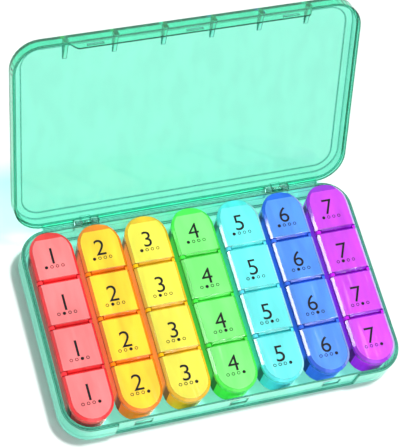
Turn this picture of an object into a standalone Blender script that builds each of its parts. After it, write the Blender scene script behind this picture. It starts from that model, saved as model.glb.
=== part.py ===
"""A seven-day pill organiser: a hinged case with seven capsule-shaped day boxes, each with four flip lids.

Lengths are in metres and +Z is up. The origin is at the middle of the tray's underside, with +Y towards
the hinge of the case and +X to the right. The case cover stands open and the day boxes are closed.
"""

import math

import bmesh
import bpy

# Driving dimensions of a day box and its lids
lid_width = 0.0270
box_length = 0.1230
box_height = 0.0172
lid_thickness = 0.0035
box_wall = 0.0012
box_floor = 0.0012
box_draft = 0.0008
foot_chamfer = 0.0015
pocket_chamfer = 0.0025
groove_spacing_share = 0.2383
groove_width = 0.0008
lid_bevel = 0.0016
lid_bevel_drop = 0.0015
groove_bevel = 0.0012
lid_skin = 0.0011
lid_rim = 0.0022
post_width = 0.0024
latch_post_depth = 0.0023
latch_post_rise = 0.0020
thumb_slope_length = 0.0051
thumb_slope_drop = 0.0023
rod_radius = 0.0005
barrel_end_wall = 0.0012

# Driving dimensions of the case
box_spacing = 0.0030
side_clearance = 0.0023
end_clearance = 0.0015
tray_floor = 0.0022
ledge_drop = 0.0032
ledge_width = 0.0012
lip_width = 0.0010
lip_height = 0.0015
plate_thickness = 0.0016
lid_headroom = 0.0007
panel_inset = 0.0065
panel_step = 0.0004
edge_chamfer = 0.0010
skirt_drop = 0.0070
skirt_curve = 0.0060
slot_width = 0.0106
slot_height = 0.0068
slot_below_ledge = 0.0022
catch_width = 0.0098
catch_height = 0.0026
catch_lip_share = 0.25
gusset_width = 0.0024
gusset_length = 0.0130
gusset_height = 0.0045

# Driving dimensions of the case hinge
hinge_out = 0.0008
knuckle_radius = 0.0018
pin_radius = 0.00075
cover_knuckle_length = 0.0060
tray_knuckle_length = 0.0042
knuckle_web = 0.0035
stop_rail_reach = 0.0036
stop_rail_height = 0.0045
hinge_position_share = 0.29
open_angle = math.radians(118)

# Gaps: between faces that touch in the real object, and the overlap that a union or a cut needs
fit_gap = 0.0003
bite = 0.0004
skin_gap = 0.00005

day_names = ("sun", "mon", "tue", "wed", "thu", "fri", "sat")
skirt_columns = 5
catch_columns = 2
corner_steps = 9
end_steps = 14
round_steps = 12
smooth_angle = math.radians(30)
lid_paleness = 0.4

# Heights, from the table up
box_base = tray_floor + fit_gap
box_rim = box_base + box_height
lid_top = box_rim + fit_gap + lid_thickness
ledge_height = box_rim - ledge_drop
cover_rim = ledge_height + fit_gap
lip_top = ledge_height + lip_height
plate_inside = lid_top + lid_headroom
cover_depth = plate_inside + plate_thickness - cover_rim

# Plan sizes of the case
column_pitch = lid_width + box_spacing
tray_wall = ledge_width + lip_width
half_lid = lid_width / 2
half_box = box_length / 2
half_width = (len(day_names) - 1) / 2 * column_pitch + half_lid + side_clearance + tray_wall
half_depth = half_box + end_clearance + tray_wall
corner_radius = half_lid + side_clearance + tray_wall

# Places along the front wall
skirt_half = skirt_columns / 2 * column_pitch + side_clearance / 2
catch_places = (-catch_columns * column_pitch, 0, catch_columns * column_pitch)
gusset_places = [(i - skirt_columns / 2) * column_pitch for i in range(skirt_columns + 1)]
slot_top = ledge_height - slot_below_ledge

# The cover's hinge axis runs along X just outside the rear wall
axis_y = half_depth + hinge_out
axis_z = ledge_height + fit_gap / 2
hinge_places = (-2 * half_width * hinge_position_share, 2 * half_width * hinge_position_share)
hinge_half = cover_knuckle_length / 2 + tray_knuckle_length + 2 * fit_gap
relief_radius = knuckle_radius + fit_gap
pin_bore = pin_radius + fit_gap
cover_front = -half_depth - axis_y
skirt_inside = cover_front + ledge_width - fit_gap - skin_gap

# The lids' hinge axis runs along Y inside the left edge of each day box
barrel_radius = lid_thickness / 2 - skin_gap
lid_axis_x = -half_lid + lid_thickness / 2
lid_axis_z = lid_top - lid_thickness / 2 - box_base
rod_bore = rod_radius + fit_gap
groove_spacing = box_length * groove_spacing_share
end_centre = half_box - half_lid
post_room = post_width / 2 + fit_gap
latch_room = latch_post_depth + fit_gap


def arc(centre_u, centre_v, radius, start, stop, steps):
    """Points along an arc, both ends included."""
    angles = [start + (stop - start) * i / steps for i in range(steps + 1)]
    return [(centre_u + radius * math.cos(a), centre_v + radius * math.sin(a)) for a in angles]


def circle(centre_u, centre_v, radius):
    """A closed ring of points round a centre."""
    return arc(centre_u, centre_v, radius, 0, math.tau, round_steps)[:-1]


def case_outline(inset):
    """The rounded rectangle of the case, drawn in by an inset."""
    radius = corner_radius - inset
    u, v = half_width - corner_radius, half_depth - corner_radius
    points = []
    for turn, (a, b) in enumerate(((u, v), (-u, v), (-u, -v), (u, -v))):
        start = turn * math.pi / 2
        points += arc(a, b, radius, start, start + math.pi / 2, corner_steps)
    return points


def box_outline(inset):
    """The capsule of a day box, drawn in by an inset."""
    radius = half_lid - inset
    rear = arc(0, end_centre, radius, 0, math.pi, end_steps)
    front = arc(0, -end_centre, radius, math.pi, math.tau, end_steps)
    return rear + front


def add_loft(mesh, rings):
    """A closed solid through rings of equal length, each an outline and its height."""
    rows = [[mesh.verts.new((u, v, z)) for u, v in outline] for outline, z in rings]
    for low, high in zip(rows, rows[1:]):
        for i in range(len(low)):
            j = (i + 1) % len(low)
            mesh.faces.new((low[i], low[j], high[j], high[i]))
    mesh.faces.new(rows[0][::-1])
    mesh.faces.new(rows[-1])


def add_prism(mesh, outline, axis, low, high):
    """An outline drawn across an axis and run along it from low to high."""
    place = {"X": lambda u, v, w: (w, u, v), "Y": lambda u, v, w: (u, w, v), "Z": lambda u, v, w: (u, v, w)}
    rows = [[mesh.verts.new(place[axis](u, v, w)) for u, v in outline] for w in (low, high)]
    for i in range(len(outline)):
        j = (i + 1) % len(outline)
        mesh.faces.new((rows[0][i], rows[0][j], rows[1][j], rows[1][i]))
    mesh.faces.new(rows[0][::-1])
    mesh.faces.new(rows[1])


def add_block(mesh, low, high):
    """A box between two corners."""
    outline = [(low[0], low[1]), (high[0], low[1]), (high[0], high[1]), (low[0], high[1])]
    add_prism(mesh, outline, "Z", low[2], high[2])


def solid_object(name, builder):
    """An object whose mesh a builder function fills with closed solids, faces outward."""
    mesh = bmesh.new()
    builder(mesh)
    bmesh.ops.recalc_face_normals(mesh, faces=mesh.faces)
    data = bpy.data.meshes.new(name)
    mesh.to_mesh(data)
    mesh.free()
    thing = bpy.data.objects.new(name, data)
    bpy.context.collection.objects.link(thing)
    return thing


def carved_mesh(name, builder, *steps):
    """A mesh made from a builder's solid by unions and cuts, each given as an operation and a builder."""
    base = solid_object(name, builder)
    tools = []
    for i, (operation, tool_builder) in enumerate(steps):
        tool = solid_object(f"{name}_tool_{i}", tool_builder)
        tools.append(tool)
        change = base.modifiers.new(f"step_{i}", "BOOLEAN")
        change.operation = operation
        change.object = tool
        change.solver = "EXACT"
    depsgraph = bpy.context.evaluated_depsgraph_get()
    data = bpy.data.meshes.new_from_object(base.evaluated_get(depsgraph))
    for thing in [base, *tools]:
        spare = thing.data
        bpy.data.objects.remove(thing)
        bpy.data.meshes.remove(spare)
    data.name = name
    data.shade_smooth()
    data.set_sharp_from_angle(angle=smooth_angle)
    return data


def plastic(name, colour, roughness, alpha):
    """A clear tinted plastic."""
    material = bpy.data.materials.new(name)
    material.use_nodes = True
    shader = material.node_tree.nodes["Principled BSDF"]
    shader.inputs["Base Color"].default_value = (*colour, 1)
    shader.inputs["Roughness"].default_value = roughness
    shader.inputs["Metallic"].default_value = 0
    shader.inputs["Alpha"].default_value = alpha
    return material


def steel(name):
    """Plain bright steel."""
    material = bpy.data.materials.new(name)
    material.use_nodes = True
    shader = material.node_tree.nodes["Principled BSDF"]
    shader.inputs["Base Color"].default_value = (0.62, 0.63, 0.64, 1)
    shader.inputs["Roughness"].default_value = 0.25
    shader.inputs["Metallic"].default_value = 1
    return material


def place(name, data, material, parent=None, location=(0, 0, 0), turn=0):
    """A named piece on a mesh that others may share, with its own material."""
    if not data.materials:
        data.materials.append(None)
    piece = bpy.data.objects.new(name, data)
    bpy.context.collection.objects.link(piece)
    piece.parent = parent
    piece.location = location
    piece.rotation_euler.x = turn
    piece.material_slots[0].link = "OBJECT"
    piece.material_slots[0].material = material
    return piece


# Tray of the case

def tray_shell(mesh):
    """The open tray, with a low inner lip standing on the ledge of its rim."""
    add_loft(
        mesh,
        [
            (case_outline(edge_chamfer), 0),
            (case_outline(0), edge_chamfer),
            (case_outline(0), ledge_height),
            (case_outline(ledge_width), ledge_height),
            (case_outline(ledge_width), lip_top),
            (case_outline(tray_wall), lip_top),
            (case_outline(tray_wall), tray_floor + edge_chamfer),
            (case_outline(tray_wall + edge_chamfer), tray_floor),
        ],
    )


def tray_relief(mesh):
    """The set-back of the front wall, and the room for the cover's knuckles in the rear wall."""
    add_block(
        mesh,
        (-skirt_half - fit_gap, -half_depth - bite, tray_floor + bite),
        (skirt_half + fit_gap, -half_depth + ledge_width, lip_top + bite),
    )
    room = cover_knuckle_length / 2 + fit_gap
    for x in hinge_places:
        add_block(
            mesh,
            (x - room, axis_y - relief_radius, axis_z - relief_radius),
            (x + room, axis_y + relief_radius, lip_top + bite),
        )


def tray_slots(mesh):
    """The three catch slots through the front wall."""
    front_face = -half_depth + ledge_width
    for x in catch_places:
        add_block(
            mesh,
            (x - slot_width / 2, front_face - bite, slot_top - slot_height),
            (x + slot_width / 2, front_face + lip_width + bite, slot_top),
        )


def knuckle_outline(web_end):
    """The round of a knuckle, run out to a web on the wall that carries it."""
    wall_y = half_depth - bite
    rise = 1 if web_end > 0 else -1
    start = 0 if web_end > 0 else math.pi
    round_side = arc(axis_y, axis_z, knuckle_radius, start + math.pi, start + math.tau, round_steps // 2)
    return round_side + [(wall_y, axis_z + rise * knuckle_radius + web_end), (wall_y, axis_z)]


def stop_outline():
    """A rail on the rear wall whose sloping top lies along the outside of the open cover."""
    slope = math.tan(math.pi / 2 - (math.pi - open_angle))
    clear = (hinge_out - fit_gap - skin_gap) / math.sin(math.pi - open_angle)
    tip_y = axis_y + stop_rail_reach
    tip_z = axis_z + clear - stop_rail_reach * slope
    wall_y = half_depth - bite
    return [
        (wall_y, tip_z - stop_rail_height),
        (tip_y, tip_z - stop_rail_height / 2),
        (tip_y, tip_z),
        (axis_y, axis_z + clear),
        (half_depth + skin_gap, axis_z - fit_gap),
        (wall_y, axis_z - fit_gap),
    ]


def tray_fittings(mesh):
    """The tray's hinge knuckles and the rails between them that stop the open cover."""
    inner = cover_knuckle_length / 2 + fit_gap
    outline = knuckle_outline(-knuckle_web)
    for x in hinge_places:
        add_prism(mesh, outline, "X", x - inner - tray_knuckle_length, x - inner)
        add_prism(mesh, outline, "X", x + inner, x + inner + tray_knuckle_length)
    rail_ends = [corner_radius - half_width]
    for x in hinge_places:
        rail_ends += [x - hinge_half, x + hinge_half]
    rail_ends.append(half_width - corner_radius)
    for low, high in zip(rail_ends[::2], rail_ends[1::2]):
        add_prism(mesh, stop_outline(), "X", low, high)


def tray_bores(mesh):
    """The pin bores through the tray's knuckles."""
    reach = cover_knuckle_length / 2 + tray_knuckle_length + fit_gap + bite
    for x in hinge_places:
        add_prism(mesh, circle(axis_y, axis_z, pin_bore), "X", x - reach, x + reach)


# Cover of the case, drawn shut, with its origin on the hinge axis

def cover_z(height):
    """A height above the table, as the cover's own height above its hinge axis."""
    return height - axis_z


def cover_outline(inset):
    """The outline of the case, measured from the hinge axis."""
    return [(u, v - axis_y) for u, v in case_outline(inset)]


def cover_shell(mesh):
    """The cover, with a rebate round its rim for the tray's lip and a sunk panel in its plate."""
    rebate = ledge_width - fit_gap
    top = cover_rim + cover_depth
    add_loft(
        mesh,
        [
            (cover_outline(edge_chamfer), cover_z(top)),
            (cover_outline(0), cover_z(top - edge_chamfer)),
            (cover_outline(0), cover_z(cover_rim)),
            (cover_outline(rebate), cover_z(cover_rim)),
            (cover_outline(rebate), cover_z(lip_top + fit_gap)),
            (cover_outline(tray_wall), cover_z(lip_top + fit_gap)),
            (cover_outline(tray_wall), cover_z(plate_inside)),
            (cover_outline(panel_inset), cover_z(plate_inside)),
            (cover_outline(panel_inset + panel_step), cover_z(plate_inside + panel_step)),
        ],
    )


def cover_skirt(mesh):
    """The deeper stretch of the front wall, with a curved step at each end."""
    root = cover_z(lip_top + fit_gap + bite)
    edge = cover_z(cover_rim - skirt_drop)
    rim = cover_z(cover_rim)
    curve = [(i / corner_steps, (1 - math.cos(math.pi * i / corner_steps)) / 2) for i in range(corner_steps + 1)]
    right = [(skirt_half - skirt_curve * a, rim + (edge - rim) * b) for a, b in curve]
    left = [(-u, v) for u, v in reversed(right)]
    outline = [(skirt_half, root), *right, *left, (-skirt_half, root)]
    add_prism(mesh, outline, "Y", cover_front + skin_gap, skirt_inside)


def cover_catches(mesh):
    """The three wedges inside the skirt that snap into the tray's slots."""
    catch_top = cover_z(slot_top) - fit_gap
    catch_out = skirt_inside + fit_gap + lip_width
    catch = [
        (skirt_inside - bite, catch_top),
        (catch_out, catch_top),
        (catch_out, catch_top - catch_height * catch_lip_share),
        (skirt_inside - bite, catch_top - catch_height),
    ]
    for x in catch_places:
        add_prism(mesh, catch, "X", x - catch_width / 2, x + catch_width / 2)


def cover_fittings(mesh):
    """The six gussets behind the front wall and the cover's hinge knuckles."""
    wall_inside = cover_front + tray_wall
    plate = cover_z(plate_inside)
    gusset = [
        (wall_inside - bite, plate - gusset_height),
        (wall_inside + gusset_length, plate - skin_gap),
        (wall_inside + gusset_length, plate + bite),
        (wall_inside - bite, plate + bite),
    ]
    for x in gusset_places:
        add_prism(mesh, gusset, "X", x - gusset_width / 2, x + gusset_width / 2)
    knuckle = [(u - axis_y, v - axis_z) for u, v in knuckle_outline(knuckle_web)]
    for x in hinge_places:
        add_prism(mesh, knuckle, "X", x - cover_knuckle_length / 2, x + cover_knuckle_length / 2)


def cover_cuts(mesh):
    """The room for the tray's knuckles in the cover's rear wall."""
    inner = cover_knuckle_length / 2
    for x in hinge_places:
        for low, high in ((x - hinge_half, x - inner), (x + inner, x + hinge_half)):
            add_block(
                mesh,
                (low, -relief_radius, cover_z(cover_rim) - bite),
                (high, relief_radius, relief_radius),
            )


def cover_bores(mesh):
    """The pin bores through the cover's knuckles."""
    reach = cover_knuckle_length / 2 + bite
    for x in hinge_places:
        add_prism(mesh, circle(0, 0, pin_bore), "X", x - reach, x + reach)


def hinge_pin(mesh):
    """The round pin of one case hinge."""
    reach = cover_knuckle_length / 2 + tray_knuckle_length
    add_prism(mesh, circle(0, 0, pin_radius), "X", -reach, reach)


# Day box, with its origin at the middle of its underside

def box_shell(mesh):
    """The outside of a day box, a little narrower than its lids."""
    add_loft(
        mesh,
        [
            (box_outline(fit_gap + box_draft + foot_chamfer), 0),
            (box_outline(fit_gap + box_draft), foot_chamfer),
            (box_outline(fit_gap), box_height),
        ],
    )


def pocket_outline(low, high, inset):
    """The plan of one compartment between two heights along the box, with a round end where it has one."""
    side = half_lid - fit_gap - box_wall - inset
    if high is None:
        front = low + inset
        round_end = arc(0, end_centre, side, 0, math.pi, end_steps)
        return [(side, front), *round_end, (-side, front)]
    if low is None:
        return [(u, -v) for u, v in pocket_outline(-high, None, inset)]
    return [(side, low + inset), (side, high - inset), (-side, high - inset), (-side, low + inset)]


def box_pockets(mesh):
    """The four compartments, chamfered at the bottom, and the room for the end lids' swing."""
    half_partition = box_wall / 2
    grooves = (-groove_spacing, 0, groove_spacing)
    starts = (None, *(g + half_partition for g in grooves))
    ends = (*(g - half_partition for g in grooves), None)
    for low, high in zip(starts, ends):
        add_loft(
            mesh,
            [
                (pocket_outline(low, high, box_draft + pocket_chamfer), box_floor),
                (pocket_outline(low, high, box_draft), box_floor + pocket_chamfer),
                (pocket_outline(low, high, 0), box_height + bite),
            ],
        )


def box_swing_room(mesh):
    """The dip in the left wall where the rounded ends of the end lids swing down."""
    swing = math.hypot(lid_thickness, lid_thickness) / 2
    depth = lid_axis_z - swing - fit_gap
    overhang = math.sqrt(half_lid**2 - lid_axis_x**2)
    for side in (-1, 1):
        near = side * (end_centre - barrel_end_wall - fit_gap)
        far = side * (end_centre + overhang + fit_gap)
        add_block(
            mesh,
            (-half_lid - bite, min(near, far), depth),
            (lid_axis_x + swing, max(near, far), box_height + bite),
        )


def box_posts(mesh):
    """A hinge post at the left end of each groove and a latch post at its right end."""
    foot = box_height - bite
    head = arc(lid_axis_x, lid_axis_z, barrel_radius, 0, math.pi, round_steps // 2)
    hinge_post = [*head, (lid_axis_x - barrel_radius, foot), (lid_axis_x + barrel_radius, foot)]
    for y in (-groove_spacing, 0, groove_spacing):
        add_prism(mesh, hinge_post, "Y", y - post_width / 2, y + post_width / 2)
        add_block(
            mesh,
            (half_lid - latch_post_depth, y - post_width / 2, foot),
            (half_lid - fit_gap - skin_gap, y + post_width / 2, box_height + fit_gap + latch_post_rise),
        )


def box_bores(mesh):
    """The rod bores through the hinge posts."""
    for y in (-groove_spacing, 0, groove_spacing):
        reach = post_width / 2 + bite
        add_prism(mesh, circle(lid_axis_x, lid_axis_z, rod_bore), "Y", y - reach, y + reach)


def lid_rod(mesh):
    """The rod that carries a day box's four lids, along Y with its origin at the middle."""
    reach = end_centre - 2 * barrel_end_wall - fit_gap
    add_prism(mesh, circle(0, 0, rod_radius), "Y", -reach, reach)


# Lids, each drawn shut with its origin on the hinge axis

def lid_x(x):
    """A distance from the box's middle, as the lid's own distance from its hinge axis."""
    return x - lid_axis_x


def middle_lid_outline(bevel, groove_inset):
    """Half of the plan of a middle lid, at its rear end, then the other half by symmetry."""
    edge = groove_spacing / 2 - groove_width / 2 - groove_inset
    notch = groove_spacing / 2 - post_room
    rear = [
        (lid_x(half_lid - bevel), notch),
        (lid_x(half_lid - latch_room), notch),
        (lid_x(half_lid - latch_room), edge),
        (barrel_radius + fit_gap, edge),
        (barrel_radius + fit_gap, notch),
        (lid_x(bevel - half_lid), notch),
    ]
    return rear + [(u, -v) for u, v in reversed(rear)]


def end_lid_outline(bevel, groove_inset):
    """The plan of the rear end lid, with its origin at the groove."""
    edge = groove_width / 2 + groove_inset
    centre = end_centre - groove_spacing
    radius = half_lid - bevel
    round_end = [(lid_x(u), v) for u, v in arc(0, centre, radius, 0, math.pi, end_steps)]
    return [
        (lid_x(half_lid - latch_room), edge),
        (lid_x(half_lid - latch_room), post_room),
        (lid_x(half_lid - bevel), post_room),
        *round_end,
        (lid_x(bevel - half_lid), post_room),
        (barrel_radius + fit_gap, post_room),
        (barrel_radius + fit_gap, edge),
    ]


def add_lid_slab(mesh, outline):
    """A lid's slab: straight sides, then a bevel up to the flat top."""
    half = lid_thickness / 2
    add_loft(
        mesh,
        [
            (outline(0, 0), -half),
            (outline(0, 0), half - lid_bevel_drop),
            (outline(lid_bevel, groove_bevel), half),
        ],
    )


def add_lid_hollow(mesh, outline):
    """The shallow hollow under a lid."""
    half = lid_thickness / 2
    add_prism(mesh, outline, "Z", -half - bite, half - lid_skin)


def add_barrel_side(mesh, low, high):
    """What is cut from a lid's lower left edge, so that it turns round the rod like a barrel."""
    outside = -lid_thickness / 2 - bite
    outline = arc(0, 0, barrel_radius, math.pi, math.pi * 3 / 2, round_steps // 2)
    add_prism(mesh, [*outline, (0, outside), (outside, outside), (outside, 0)], "Y", low, high)


def middle_lid_barrel(mesh):
    """The barrel side of a middle lid."""
    add_barrel_side(mesh, -groove_spacing / 2, groove_spacing / 2)


def middle_lid_cuts(mesh):
    """The rod bore and the hollow of a middle lid."""
    reach = groove_spacing / 2
    add_prism(mesh, circle(0, 0, rod_bore), "Y", -reach, reach)
    left = barrel_radius + fit_gap + bite
    right = lid_x(half_lid - latch_room - bite)
    back = groove_spacing / 2 - groove_width / 2 - lid_rim
    add_lid_hollow(mesh, [(left, -back), (right, -back), (right, back), (left, back)])


def end_lid_barrel(mesh):
    """The barrel side of an end lid."""
    add_barrel_side(mesh, 0, end_centre - groove_spacing - barrel_end_wall)


def end_lid_cuts(mesh):
    """The blind rod bore and the hollow of an end lid."""
    centre = end_centre - groove_spacing
    add_prism(mesh, circle(0, 0, rod_bore), "Y", 0, centre - 2 * barrel_end_wall)
    radius = half_lid - lid_bevel - lid_rim
    left = barrel_radius + fit_gap + bite
    stop = math.pi - math.acos(min(1, abs(left + lid_axis_x) / radius))
    round_end = arc(0, centre, radius, 0, stop, end_steps)
    front = groove_width / 2 + lid_rim
    hollow = [(lid_x(radius), front), *((lid_x(u), v) for u, v in round_end), (left, front)]
    add_lid_hollow(mesh, hollow)


def thumb_slope(mesh):
    """The slope down to the rear end of the last lid, for the thumb that opens it."""
    rear = half_box - groove_spacing
    start = rear - thumb_slope_length
    slope = thumb_slope_drop / thumb_slope_length
    half = lid_thickness / 2
    outline = [
        (start - bite, half + slope * bite),
        (rear + bite, half - thumb_slope_drop - slope * bite),
        (rear + bite, half + bite),
        (start - bite, half + bite),
    ]
    add_prism(mesh, outline, "X", lid_x(-half_lid) - bite, lid_x(half_lid) + bite)


def mirrored(data, name):
    """A mesh turned front to back."""
    mesh = bmesh.new()
    mesh.from_mesh(data)
    for vertex in mesh.verts:
        vertex.co.y = -vertex.co.y
    bmesh.ops.reverse_faces(mesh, faces=mesh.faces)
    copy = bpy.data.meshes.new(name)
    mesh.to_mesh(copy)
    mesh.free()
    bpy.data.meshes.remove(data)
    return copy


for thing in list(bpy.data.objects):
    bpy.data.objects.remove(thing)

# Case
mint = plastic("mint_plastic", (0.22, 0.92, 0.70), 0.15, 0.55)
pin_steel = steel("pin_steel")
tray_mesh = carved_mesh(
    "case_tray",
    tray_shell,
    ("DIFFERENCE", tray_relief),
    ("DIFFERENCE", tray_slots),
    ("UNION", tray_fittings),
    ("DIFFERENCE", tray_bores),
)
tray = place("case_tray", tray_mesh, mint)
cover_mesh = carved_mesh(
    "case_cover",
    cover_shell,
    ("UNION", cover_skirt),
    ("UNION", cover_catches),
    ("UNION", cover_fittings),
    ("DIFFERENCE", cover_cuts),
    ("DIFFERENCE", cover_bores),
)
place("case_cover", cover_mesh, mint, tray, (0, axis_y, axis_z), -open_angle)
pin_mesh = carved_mesh("case_hinge_pin", hinge_pin)
for side, x in zip(("left", "right"), hinge_places):
    place(f"case_hinge_pin_{side}", pin_mesh, pin_steel, tray, (x, axis_y, axis_z))

# Day boxes
box_mesh = carved_mesh(
    "day_box",
    box_shell,
    ("DIFFERENCE", box_pockets),
    ("DIFFERENCE", box_swing_room),
    ("UNION", box_posts),
    ("DIFFERENCE", box_bores),
)
rod_mesh = carved_mesh("lid_rod", lid_rod)
middle_lid_mesh = carved_mesh(
    "middle_lid",
    lambda mesh: add_lid_slab(mesh, middle_lid_outline),
    ("DIFFERENCE", middle_lid_barrel),
    ("DIFFERENCE", middle_lid_cuts),
)
end_lid_steps = [("DIFFERENCE", end_lid_barrel), ("DIFFERENCE", end_lid_cuts)]
rear_lid_mesh = carved_mesh(
    "rear_lid",
    lambda mesh: add_lid_slab(mesh, end_lid_outline),
    *end_lid_steps,
    ("DIFFERENCE", thumb_slope),
)
plain_lid_mesh = carved_mesh(
    "plain_lid",
    lambda mesh: add_lid_slab(mesh, end_lid_outline),
    *end_lid_steps,
)
front_lid_mesh = mirrored(plain_lid_mesh, "front_lid")
day_colours = {
    "sun": (1.00, 0.06, 0.07),
    "mon": (1.00, 0.30, 0.02),
    "tue": (0.95, 0.60, 0.02),
    "wed": (0.08, 0.80, 0.10),
    "thu": (0.05, 0.75, 0.80),
    "fri": (0.04, 0.18, 0.85),
    "sat": (0.45, 0.03, 0.85),
}
lid_places = {
    "morning": (rear_lid_mesh, groove_spacing),
    "noon": (middle_lid_mesh, groove_spacing / 2),
    "night": (middle_lid_mesh, -groove_spacing / 2),
    "backup": (front_lid_mesh, -groove_spacing),
}
for i, day in enumerate(day_names):
    column = (i - (len(day_names) - 1) / 2) * column_pitch
    body_plastic = plastic(f"{day}_body_plastic", day_colours[day], 0.12, 0.7)
    day_box = place(f"{day}_box", box_mesh, body_plastic, tray, (column, 0, box_base))
    place(f"{day}_lid_rod", rod_mesh, pin_steel, day_box, (lid_axis_x, 0, lid_axis_z))
    lid_colour = [c + (1 - c) * lid_paleness for c in day_colours[day]]
    lid_plastic = plastic(f"{day}_lid_plastic", lid_colour, 0.1, 0.75)
    for time, (lid_mesh, y) in lid_places.items():
        place(f"{day}_{time}_lid", lid_mesh, lid_plastic, day_box, (lid_axis_x, y, lid_axis_z))
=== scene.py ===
import math

import bmesh
import bpy
from mathutils import Matrix, Vector


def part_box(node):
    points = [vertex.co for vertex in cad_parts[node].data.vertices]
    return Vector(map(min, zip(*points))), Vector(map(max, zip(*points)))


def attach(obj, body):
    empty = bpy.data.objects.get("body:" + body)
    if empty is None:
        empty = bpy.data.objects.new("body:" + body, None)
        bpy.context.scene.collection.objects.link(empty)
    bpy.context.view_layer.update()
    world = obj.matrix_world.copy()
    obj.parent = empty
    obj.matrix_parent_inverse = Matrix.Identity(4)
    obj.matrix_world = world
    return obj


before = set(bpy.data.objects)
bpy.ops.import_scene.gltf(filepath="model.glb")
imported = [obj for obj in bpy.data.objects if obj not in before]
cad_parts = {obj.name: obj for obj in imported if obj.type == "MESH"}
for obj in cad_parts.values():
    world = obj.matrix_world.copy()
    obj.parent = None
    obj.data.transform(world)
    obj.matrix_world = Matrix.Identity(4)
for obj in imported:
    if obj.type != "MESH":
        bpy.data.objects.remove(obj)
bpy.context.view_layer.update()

# Tray of the case
# One injection moulding in clear mint plastic: a floor, four walls with a ledge for the cover, and the hinge
# knuckles and stop rails at the rear. The seven day boxes stand loose in it.

flow_stretch = (1, 0.25, 0.5)
rub_turn = (0.3, 0.2, 0.6)
rub_stretch = (1, 0.06, 0.4)
rub_dulling = 0.12
case_refraction = 1.33
case_gloss = 0.05
case_shine = 0.3
case_streaks = 0.04
mint_in_depth = (0, 0.85, 0.7, 1)


def add_node(tree, kind, inputs=(), **settings):
    """A shader node. Each input takes a value, or the output that feeds it."""
    made = tree.nodes.new("ShaderNode" + kind)
    for name, value in settings.items():
        setattr(made, name, value)
    for name, value in dict(inputs).items():
        if isinstance(value, bpy.types.NodeSocket):
            tree.links.new(value, made.inputs[name])
        else:
            made.inputs[name].default_value = value
    return made


def ramp(tree, value, start=0, full=1, low=0, high=1, **settings):
    """A number that goes from low to high while the value goes from start to full."""
    ends = {"From Min": start, "From Max": full, "To Min": low, "To Max": high}
    return add_node(tree, "MapRange", {"Value": value, **ends}, **settings).outputs[0]


def product(tree, first, second):
    """Two numbers multiplied."""
    return add_node(tree, "Math", {0: first, 1: second}, operation="MULTIPLY").outputs[0]


def blend_colours(tree, share, first, second, **settings):
    """A colour that goes from the first to the second while the share goes from 0 to 1. A Mix node has its
    colours at inputs 6 and 7, and the result at output 2."""
    first, second = ((*c, 1) if isinstance(c, tuple) else c for c in (first, second))
    return add_node(tree, "Mix", {0: share, 6: first, 7: second}, data_type="RGBA", **settings).outputs[2]


def new_effect(name, takes, gives):
    """An empty node group with named inputs and outputs, and its two end nodes."""
    group = bpy.data.node_groups.new(name, "ShaderNodeTree")
    for label, start in takes.items():
        group.interface.new_socket(label, in_out="INPUT", socket_type="NodeSocketFloat").default_value = start
    for label, kind in gives.items():
        group.interface.new_socket(label, in_out="OUTPUT", socket_type="NodeSocket" + kind)
    return group, group.nodes.new("NodeGroupInput").outputs, group.nodes.new("NodeGroupOutput").inputs


def moulded_edge():
    """The edges of a moulding: their softly rounded normal, and a mask that is 1 along an edge. Start and
    Full say how far the normal has turned where the mask sets in and where it is full."""
    takes = {"Radius": 0.0005, "Start": 0.998, "Full": 0.96}
    group, given, out = new_effect("moulded_edge", takes, {"Edge": "Float", "Normal": "Vector"})
    rounded = add_node(group, "Bevel", {"Radius": given["Radius"]}, samples=6).outputs[0]
    flat = add_node(group, "NewGeometry").outputs["Normal"]
    turn = add_node(group, "VectorMath", {0: rounded, 1: flat}, operation="DOT_PRODUCT").outputs["Value"]
    edge = ramp(group, turn, given["Start"], given["Full"], interpolation_type="SMOOTHSTEP")
    group.links.new(edge, out["Edge"])
    group.links.new(rounded, out["Normal"])
    return group


def moulded_skin():
    """The face of a moulding: slow flow marks in its tone, and fine rubbed scratches with their height."""
    takes = {"Flow": 110, "Scratches": 420}
    gives = {"Tone": "Float", "Scratch": "Float", "Height": "Float"}
    group, given, out = new_effect("moulded_skin", takes, gives)
    place = add_node(group, "TexCoord").outputs["Object"]
    stretched = add_node(group, "Mapping", {"Vector": place, "Scale": flow_stretch}).outputs[0]
    flow = {"Vector": stretched, "Scale": given["Flow"], "Detail": 3, "Roughness": 0.45}
    tone = add_node(group, "TexNoise", flow).outputs["Fac"]
    lean = {"Vector": place, "Rotation": rub_turn, "Scale": rub_stretch}
    leaning = add_node(group, "Mapping", lean).outputs[0]
    rubbing = {"Vector": leaning, "Scale": given["Scratches"], "Detail": 4}
    rubs = add_node(group, "TexNoise", rubbing).outputs["Fac"]
    scratch = ramp(group, rubs, start=0.58, full=0.76)
    group.links.new(tone, out["Tone"])
    group.links.new(scratch, out["Scratch"])
    group.links.new(product(group, tone, scratch), out["Height"])
    return group


edge_effect = moulded_edge()
skin_effect = moulded_skin()


def new_material(name):
    """A material, its nodes, and the shader among them."""
    material = bpy.data.materials.new(name)
    material.use_nodes = True
    return material, material.node_tree, material.node_tree.nodes["Principled BSDF"]


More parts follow.
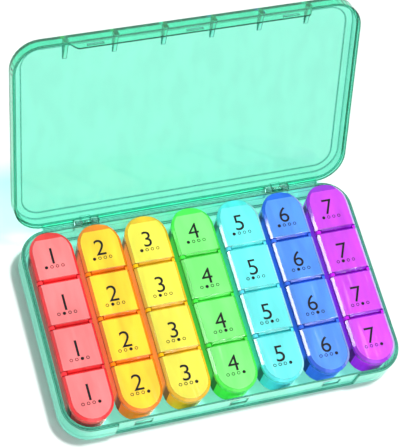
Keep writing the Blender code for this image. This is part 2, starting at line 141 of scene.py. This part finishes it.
def clear_plastic(name, clearness, refraction, gloss, shine, edge_radius, open_shadow, glow):
    """Clear plastic, still without its colour. It lets some light into its shadow, and has a painted glow: it
    gives off a little light in its own colour, standing in for light scattered inside it."""
    material, tree, shader = new_material(name)
    edge = add_node(tree, "Group", node_tree=edge_effect, name="edge")
    edge.inputs["Radius"].default_value = edge_radius
    skin = add_node(tree, "Group", node_tree=skin_effect, name="skin").outputs
    rough = ramp(tree, skin["Scratch"], low=gloss, high=gloss + rub_dulling)
    uneven = {"Strength": 0.2, "Distance": 0.00005, "Height": skin["Height"]}
    bump = add_node(tree, "Bump", uneven, name="bump").outputs[0]
    lit = add_node(tree, "LightPath").outputs["Is Shadow Ray"]
    solid = add_node(tree, "Math", {0: lit, 1: -open_shadow, 2: 1}, operation="MULTIPLY_ADD").outputs[0]
    tree.links.new(rough, shader.inputs["Roughness"])
    tree.links.new(bump, shader.inputs["Normal"])
    tree.links.new(solid, shader.inputs["Alpha"])
    shader.inputs["IOR"].default_value = refraction
    shader.inputs["Specular IOR Level"].default_value = shine
    shader.inputs["Transmission Weight"].default_value = clearness
    # Painted glow: the plastic emits a little light of its own colour
    shader.inputs["Emission Strength"].default_value = glow
    return material


def flow_tone(tree, streaks):
    """The flow marks as a tone, which falls below 1 by as much as the streaks are strong."""
    return ramp(tree, tree.nodes["skin"].outputs["Tone"], start=0.38, full=0.62, low=1 - streaks)


def colour_plastic(tree, tint, tone):
    """Gives the plastic its tint, darker where its tone is less than 1."""
    colour = blend_colours(tree, 1, tint, tone, blend_type="MULTIPLY")
    for socket in ("Base Color", "Emission Color"):
        tree.links.new(colour, tree.nodes["Principled BSDF"].inputs[socket])


def case_plastic(name, face, deep, clearness, edge_radius, open_shadow, glow, density):
    """The case's clear mint: deeper in narrow lines along its edges, and where light has far to go in it."""
    material = clear_plastic(
        name, clearness, case_refraction, case_gloss, case_shine, edge_radius, open_shadow, glow
    )
    tree = material.node_tree
    edge = tree.nodes["edge"]
    edge.inputs["Start"].default_value = 0.994
    edge.inputs["Full"].default_value = 0.985
    tint = blend_colours(tree, edge.outputs["Edge"], face, deep)
    colour_plastic(tree, tint, flow_tone(tree, case_streaks))
    depth = add_node(tree, "VolumeAbsorption", {"Color": mint_in_depth, "Density": density}).outputs[0]
    tree.links.new(depth, tree.nodes["Material Output"].inputs["Volume"])
    return material


def dress(node, material):
    """Gives a CAD node its material."""
    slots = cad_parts[node].data.materials
    slots.clear()
    slots.append(material)


tray_plastic = case_plastic(
    "tray_mint_plastic",
    face=(0.40, 1.0, 0.85),
    deep=(0.0, 0.05, 0.03),
    clearness=0.7,
    edge_radius=0.0010,
    open_shadow=0.2,
    glow=0.06,
    density=120,
)
dress("case_tray", tray_plastic)

# Cover of the case
# Moulded in the same clear mint plastic: a thin plate with a sunk panel, a rim that meets the tray's ledge,
# and a skirt with catches and gussets on its free edge. It swings on two steel pins.

cover_plastic = case_plastic(
    "cover_mint_plastic",
    face=(0.38, 0.92, 0.74),
    deep=(0.0, 0.12, 0.07),
    clearness=0.95,
    edge_radius=0.0008,
    open_shadow=0.95,
    glow=0,
    density=200,
)
dress("case_cover", cover_plastic)

# Pins of the case hinge
# Two short lengths of bright drawn steel wire. Each goes through a knuckle of the cover and the two knuckles
# of the tray beside it.

dark_steel = (0.50, 0.51, 0.53)
pale_steel = (0.72, 0.72, 0.73)
drawing_marks = (300, 300, 4000)


def drawn_steel():
    """Bright wire with the fine marks of the drawing."""
    material, tree, shader = new_material("drawn_steel")
    place = add_node(tree, "TexCoord").outputs["Object"]
    along = add_node(tree, "Mapping", {"Vector": place, "Scale": drawing_marks}).outputs[0]
    marks = add_node(tree, "TexNoise", {"Vector": along, "Scale": 1, "Detail": 3}).outputs["Fac"]
    tree.links.new(blend_colours(tree, marks, dark_steel, pale_steel), shader.inputs["Base Color"])
    tree.links.new(ramp(tree, marks, low=0.18, high=0.36), shader.inputs["Roughness"])
    shader.inputs["Metallic"].default_value = 1
    return material


pin_steel = drawn_steel()
for side in ("left", "right"):
    dress(f"case_hinge_pin_{side}", pin_steel)

# Day boxes
# Seven like mouldings in clear plastic, one colour for each day of the week. Each has four compartments, with
# a hinge post and a latch post at each partition.

plastic_refraction = 1.49
box_streaks = 0.1
# How far the painted shade in the crevices reaches, and how dark it gets there
painted_shade_reach = 0.005
painted_shade_tone = 0.1

# The painted shade strip on the left wall, standing in for the neighbouring box's shadow: its strength, and
# how far from the box's middle it starts and ends
painted_turn_shade = 0.8
painted_turn_shade_start = 0.045
painted_turn_shade_full = 0.048
painted_turn_shade_stop = 0.0520
painted_turn_shade_end = 0.0524

# Each day's plastic on the faces, and along the edges
body_tints = {
    "sun": ((1.0, 0.05, 0.06), (0.42, 0.0, 0.01)),
    "mon": ((1.0, 0.24, 0.01), (0.45, 0.06, 0.0)),
    "tue": ((1.0, 0.52, 0.01), (0.35, 0.16, 0.0)),
    "wed": ((0.07, 0.85, 0.07), (0.01, 0.25, 0.01)),
    "thu": ((0.10, 0.68, 0.86), (0.01, 0.17, 0.24)),
    "fri": ((0.05, 0.17, 0.85), (0.01, 0.03, 0.27)),
    "sat": ((0.60, 0.02, 0.85), (0.17, 0.0, 0.30)),
}


def soften_edges(tree):
    """Lets light run round the edges of the plastic."""
    tree.links.new(tree.nodes["edge"].outputs["Normal"], tree.nodes["bump"].inputs["Normal"])


def turn_tone(tree):
    """The tone of a box's left wall, with a painted shade strip where the wall turns into a round end."""
    given = add_node(tree, "TexCoord").outputs
    facing = add_node(tree, "SeparateXYZ", {0: given["Normal"]}).outputs["X"]
    left_wall = ramp(tree, facing, start=-0.88, full=-0.92)
    place = add_node(tree, "SeparateXYZ", {0: given["Object"]}).outputs["Y"]
    from_middle = add_node(tree, "Math", {0: place}, operation="ABSOLUTE").outputs[0]
    sets_in = ramp(tree, from_middle, painted_turn_shade_start, painted_turn_shade_full, high=painted_turn_shade)
    fades_out = ramp(tree, from_middle, painted_turn_shade_end, painted_turn_shade_stop)
    return ramp(tree, product(tree, left_wall, product(tree, sets_in, fades_out)), low=1, high=0)


def box_plastic(name, face, deep):
    """Clear box plastic: deeper along its edges, with painted shade in the crevices near other parts and at
    the turns of the left wall.
    """
    material = clear_plastic(
        name,
        clearness=0.03,
        refraction=plastic_refraction,
        gloss=0.1,
        shine=0.015,
        edge_radius=0.0005,
        open_shadow=0.3,
        glow=0.24,
    )
    tree = material.node_tree
    soften_edges(tree)
    tint = blend_colours(tree, tree.nodes["edge"].outputs["Edge"], face, deep)
    # Painted shade: the colour darkens where other parts are near, as ambient occlusion finds them
    openness = add_node(tree, "AmbientOcclusion", {"Distance": painted_shade_reach}, samples=4).outputs["AO"]
    painted_crevice_shade = ramp(tree, openness, full=0.6, low=painted_shade_tone)
    tone = product(tree, flow_tone(tree, box_streaks), painted_crevice_shade)
    colour_plastic(tree, tint, product(tree, tone, turn_tone(tree)))
    return material


for day, (face, deep) in body_tints.items():
    dress(f"{day}_box", box_plastic(f"{day}_body_plastic", face, deep))

# Lid rods
# A straight steel wire along the left of each day box, through its hinge posts. All four lids of the box turn
# on it.

for day in body_tints:
    dress(f"{day}_lid_rod", pin_steel)

# Lids
# Twenty-eight small lids moulded in clear plastic, each rounded along its left edge to turn on the rod. The
# thin flat top looks paler than the bevel and the sides, where light has further to go through the plastic.

lid_streaks = 0.2
edge_share = 0.4
# The painted highlight on the right-hand bevel: how far it turns to white, and the days whose lids have it
painted_bevel_highlight = 0.4
painted_highlight_days = ("thu", "fri", "sat")

# Each day's plastic on the flat tops, and on the bevels and sides
lid_tints = {
    "sun": ((1.0, 0.28, 0.29), (1.0, 0.04, 0.05)),
    "mon": ((1.0, 0.78, 0.03), (1.0, 0.27, 0.01)),
    "tue": ((0.98, 0.96, 0.09), (0.95, 0.58, 0.02)),
    "wed": ((0.26, 0.98, 0.25), (0.09, 0.90, 0.09)),
    "thu": ((0.18, 0.96, 0.95), (0.10, 0.85, 0.85)),
    "fri": ((0.10, 0.36, 1.0), (0.03, 0.16, 0.85)),
    "sat": ((0.78, 0.065, 0.96), (0.42, 0.02, 0.78)),
}
times = ("morning", "noon", "night", "backup")


def lid_plastic(name, top, side, painted_highlight):
    """Clear lid plastic: pale on the flat top, deeper on the bevel and the sides, and dark along the edges.
    The bevel on the right turns whiter by the painted highlight, a painted reflection on that bevel."""
    material = clear_plastic(
        name,
        clearness=0.3,
        refraction=plastic_refraction,
        gloss=0.07,
        shine=0.5,
        edge_radius=0.0004,
        open_shadow=0.4,
        glow=0.05,
    )
    tree = material.node_tree
    soften_edges(tree)
    facing = add_node(tree, "SeparateXYZ", {0: add_node(tree, "TexCoord").outputs["Normal"]}).outputs
    face = blend_colours(tree, ramp(tree, facing["Z"], start=0.985, full=0.92), top, side)
    right = ramp(tree, facing["X"], start=0.3, full=0.6, high=painted_highlight)
    bevel = ramp(tree, facing["Z"], start=0.3, full=0.6)
    # Painted highlight: the right-hand bevel blends toward white
    face = blend_colours(tree, product(tree, right, bevel), face, (1, 1, 1))
    edge_tint = tuple(edge_share * v for v in side)
    tint = blend_colours(tree, tree.nodes["edge"].outputs["Edge"], face, edge_tint)
    colour_plastic(tree, tint, flow_tone(tree, lid_streaks))
    return material


for day, (top, side) in lid_tints.items():
    finish = lid_plastic(f"{day}_lid_plastic", top, side, painted_bevel_highlight if day in painted_highlight_days else 0)
    for time in times:
        dress(f"{day}_{time}_lid", finish)

# Marks printed on the lids
# Dark ink, pad printed: a plain numeral for the day of the week, and below it four dots with the one for that
# dose filled in.

ink_film = 0.00003
ink_gap = 0.00001
numeral_height = 0.0102
left_of_middle = 0.0007
dot_radius = 0.00105
dot_spacing = 0.0034
dot_sides = 28
filled_hole = 0.02
open_hole = 0.62
dark_ink = (0.001, 0.001, 0.001)
pale_ink = (0.008, 0.008, 0.009)

# Along the box from its middle: the numeral of each lid, and its row of dots
mark_places = {
    "morning": (0.0452, 0.0382),
    "noon": (0.0146, 0.0076),
    "night": (-0.0154, -0.0222),
    "backup": (-0.0432, -0.0500),
}


def numeral_outline(numeral):
    """A numeral as a mesh, one unit high and one unit thick, centred on zero and with its back at zero."""
    curve = bpy.data.curves.new("numeral", "FONT")
    curve.body = numeral
    curve.extrude = 0.1
    curve.resolution_u = 6
    text = bpy.data.objects.new("numeral", curve)
    bpy.context.scene.collection.objects.link(text)
    depsgraph = bpy.context.evaluated_depsgraph_get()
    data = bpy.data.meshes.new_from_object(text.evaluated_get(depsgraph))
    bpy.data.objects.remove(text)
    low = Vector([min(v.co[i] for v in data.vertices) for i in range(3)])
    high = Vector([max(v.co[i] for v in data.vertices) for i in range(3)])
    size = high - low
    middle_x, middle_y = (low.x + high.x) / 2, (low.y + high.y) / 2
    for v in data.vertices:
        v.co = [(v.co.x - middle_x) / size.y, (v.co.y - middle_y) / size.y, (v.co.z - low.z) / size.z]
    return data


def add_dot(mesh, x, y, radius, hole):
    """A thin flat disc round a hole, which is next to nothing in a filled dot."""
    rows = []
    turns = [math.tau * i / dot_sides for i in range(dot_sides)]
    for r, z in ((radius, 0), (radius, ink_film), (hole, ink_film), (hole, 0)):
        rows.append([mesh.verts.new((x + r * math.cos(a), y + r * math.sin(a), z)) for a in turns])
    for low, high in zip(rows, rows[1:] + rows[:1]):
        for i in range(dot_sides):
            j = (i + 1) % dot_sides
            mesh.faces.new((low[i], low[j], high[j], high[i]))


def lid_mark(name, figure, dose):
    """The ink of one lid: the day's numeral and the row of dots, with the dose's dot filled."""
    mesh = bmesh.new()
    mesh.from_mesh(figure)
    stretch = Matrix.Diagonal((numeral_height, numeral_height, ink_film, 1))
    bmesh.ops.transform(mesh, matrix=stretch, verts=mesh.verts)
    numeral_y, dots_y = mark_places[times[dose]]
    for i in range(len(times)):
        hole = filled_hole if i == dose else open_hole
        x = (i - (len(times) - 1) / 2) * dot_spacing
        add_dot(mesh, x, dots_y - numeral_y, dot_radius, dot_radius * hole)
    data = bpy.data.meshes.new(name)
    mesh.to_mesh(data)
    mesh.free()
    return data


def print_ink():
    """Near-black ink, a little uneven where the pad pressed it on."""
    material, tree, shader = new_material("print_ink")
    place = add_node(tree, "TexCoord").outputs["Object"]
    cover = add_node(tree, "TexNoise", {"Vector": place, "Scale": 1500, "Detail": 3}).outputs["Fac"]
    tree.links.new(blend_colours(tree, cover, dark_ink, pale_ink), shader.inputs["Base Color"])
    tree.links.new(ramp(tree, cover, low=0.35, high=0.6), shader.inputs["Roughness"])
    shader.inputs["Specular IOR Level"].default_value = 0.08
    return material


ink = print_ink()
for number, day in enumerate(lid_tints, 1):
    figure = numeral_outline(str(number))
    for dose, time in enumerate(times):
        low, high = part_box(f"{day}_{time}_lid")
        mark = bpy.data.objects.new(f"{day}_{time}_mark", lid_mark(f"{day}_{time}_mark", figure, dose))
        bpy.context.scene.collection.objects.link(mark)
        mark.location = ((low.x + high.x) / 2 - left_of_middle, mark_places[time][0], high.z + ink_gap)
        mark.data.materials.append(ink)
        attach(mark, f"{day}_{time}_flap")

# Studio
# A white floor that keeps the object's shadow, an even white surround, a high key light, a broad soft light
# from the front, a narrow one low on the left that only glints, and the camera of the photograph.

white = (1, 1, 1, 1)
floor_colour = (0.8, 0.8, 0.8, 1)
floor_glow = 0.03
floor_glow_in_gloss = 0.2
even_glow = 1.05
evenness_through_plastic = 0.8
floor_half_size = 3
floor_drop = 0.0002
surround_light = 0.34

# The camera looks along its heading, dipped below level, and is rolled to the photograph's slant
camera_place = (-0.32868, -0.36314, 1.03370)
camera_heading = -38.993
camera_dip = 62.317
camera_roll = 25.576


def white_floor():
    """Matt white, bright enough to fade into the surround where no shadow falls. It looks more even through
    the plastic, where the object's own shadow would darken it."""
    material, tree, shader = new_material("white_floor")
    path = add_node(tree, "LightPath").outputs
    seen = product(tree, path["Is Camera Ray"], floor_glow)
    mirrored = product(tree, path["Is Glossy Ray"], floor_glow_in_gloss)
    glow = add_node(tree, "Math", {0: mirrored, 1: seen}, operation="ADD").outputs[0]
    shader.inputs["Base Color"].default_value = floor_colour
    shader.inputs["Roughness"].default_value = 0.9
    shader.inputs["Emission Color"].default_value = white
    tree.links.new(glow, shader.inputs["Emission Strength"])
    even = add_node(tree, "Emission", {"Strength": even_glow}).outputs[0]
    through = product(tree, path["Is Transmission Ray"], evenness_through_plastic)
    mix = add_node(tree, "MixShader", {0: through, 1: shader.outputs[0], 2: even}).outputs[0]
    tree.links.new(mix, tree.nodes["Material Output"].inputs["Surface"])
    return material


grid = bmesh.new()
bmesh.ops.create_grid(grid, x_segments=8, y_segments=8, size=floor_half_size)
floor_mesh = bpy.data.meshes.new("floor")
grid.to_mesh(floor_mesh)
grid.free()
floor = bpy.data.objects.new("floor", floor_mesh)
floor.location.z = -floor_drop
bpy.context.scene.collection.objects.link(floor)
floor_mesh.materials.append(white_floor())

world = bpy.data.worlds.new("studio")
bpy.context.scene.world = world
world.use_nodes = True
tree = world.node_tree
path = add_node(tree, "LightPath").outputs
seen = path["Is Camera Ray"]
for kind in ("Is Glossy Ray", "Is Transmission Ray"):
    seen = add_node(tree, "Math", {0: seen, 1: path[kind]}, operation="MAXIMUM").outputs[0]
background = tree.nodes["Background"].inputs
background["Color"].default_value = white
tree.links.new(ramp(tree, seen, low=surround_light), background["Strength"])


def add_light(name, kind, power, place, aim):
    """A light that faces a point."""
    data = bpy.data.lights.new(name, kind)
    data.energy = power
    light = bpy.data.objects.new(name, data)
    bpy.context.scene.collection.objects.link(light)
    light.location = place
    light.rotation_euler = (Vector(aim) - Vector(place)).to_track_quat("-Z", "Y").to_euler()
    return light


key = add_light("key_light", "SUN", power=3.0, place=(0.38, 0.16, 1.15), aim=(0, 0, 0))
key.data.angle = 0.14
front = add_light("front_light", "AREA", power=4, place=(0.1, -1.1, 0.45), aim=(0, 0, 0.02))
front.data.size = 0.9
glint = add_light("glint_light", "AREA", power=3, place=(-1.0, 0.385, 0.485), aim=(0.03, 0, 0.02))
glint.data.shape = "RECTANGLE"
glint.data.size = 0.35
glint.data.size_y = 0.13
glint.visible_diffuse = False
glint.visible_transmission = False

view = bpy.data.cameras.new("camera")
view.sensor_fit = "VERTICAL"
view.sensor_height = 36
view.lens = 148.67
camera = bpy.data.objects.new("camera", view)
bpy.context.scene.collection.objects.link(camera)
camera.location = camera_place
turn = Matrix.Rotation(math.radians(camera_heading), 3, "Z")
tilt = Matrix.Rotation(math.radians(90 - camera_dip), 3, "X")
roll = Matrix.Rotation(math.radians(camera_roll), 3, "Z")
camera.rotation_euler = (turn @ tilt @ roll).to_euler()
bpy.context.scene.camera = camera
bpy.context.scene.view_settings.view_transform = "Standard"
